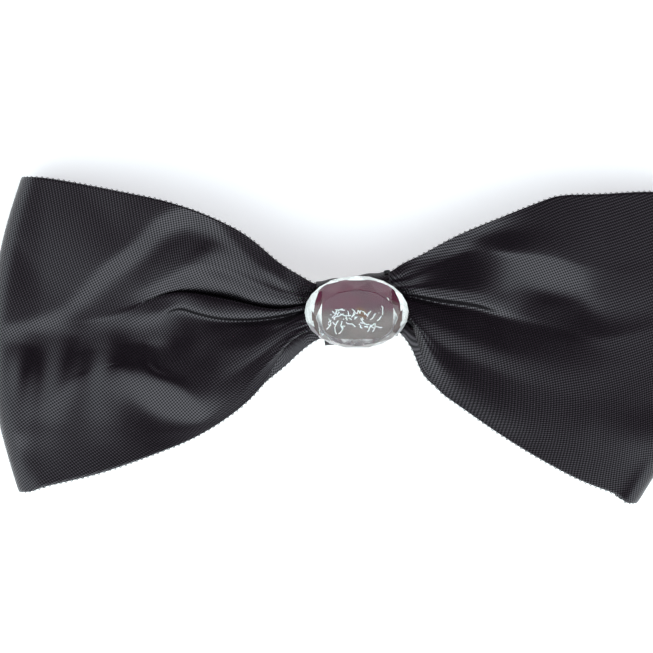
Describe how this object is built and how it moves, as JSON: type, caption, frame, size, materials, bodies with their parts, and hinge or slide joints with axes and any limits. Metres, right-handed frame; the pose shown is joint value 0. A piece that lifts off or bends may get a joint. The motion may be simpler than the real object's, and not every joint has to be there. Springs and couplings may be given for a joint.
{
  "type": "bow tie",
  "caption": "Clip-on satin bow tie: a folded ribbon bow gathered under a wrapped centre band, with a faceted oval stone on the front and a sprung jaw clip on the back.",
  "frame": {"origin": "centre of the bow's footprint, at the height of the table it lies on, on its back", "axes": "+X along the bow to its right wing as seen from the front, +Y to the bow's upper edge, +Z out of its front"},
  "size_m": [0.1288, 0.0568, 0.0212],
  "materials": {
    "bow_satin": "woven polyester satin with a low sheen",
    "band_satin": "narrow woven polyester satin",
    "thread": "spun polyester sewing thread",
    "hot_melt": "set hot-melt glue, glossy",
    "clear_acrylic": "clear moulded acrylic, polished facets",
    "nickel_steel": "nickel-plated pressed steel",
    "pin_steel": "plated steel pin",
    "spring_wire": "bright spring wire"
  },
  "bodies": {
    "bow": {"bow_ribbon": "bow_satin", "gather_thread": "thread", "centre_band": "band_satin", "band_glue": "hot_melt", "gem_glue": "hot_melt", "gem": "clear_acrylic", "clip_base": "nickel_steel", "clip_pin": "pin_steel", "clip_spring": "spring_wire", "clip_glue": "hot_melt"},
    "jaw": {"clip_lever": "nickel_steel"}
  },
  "joints": [
    {"name": "clip_jaw", "type": "hinge", "parent": "bow", "child": "jaw", "pos_m": [0.00991, 0.00692, 0.0049], "axis": [0.1392, -0.9903, 0], "range_deg": [0, 25], "stiffness_Nm_per_rad": 0.15, "springref_deg": -28.65, "deforming": ["clip_spring"]}
  ]
}
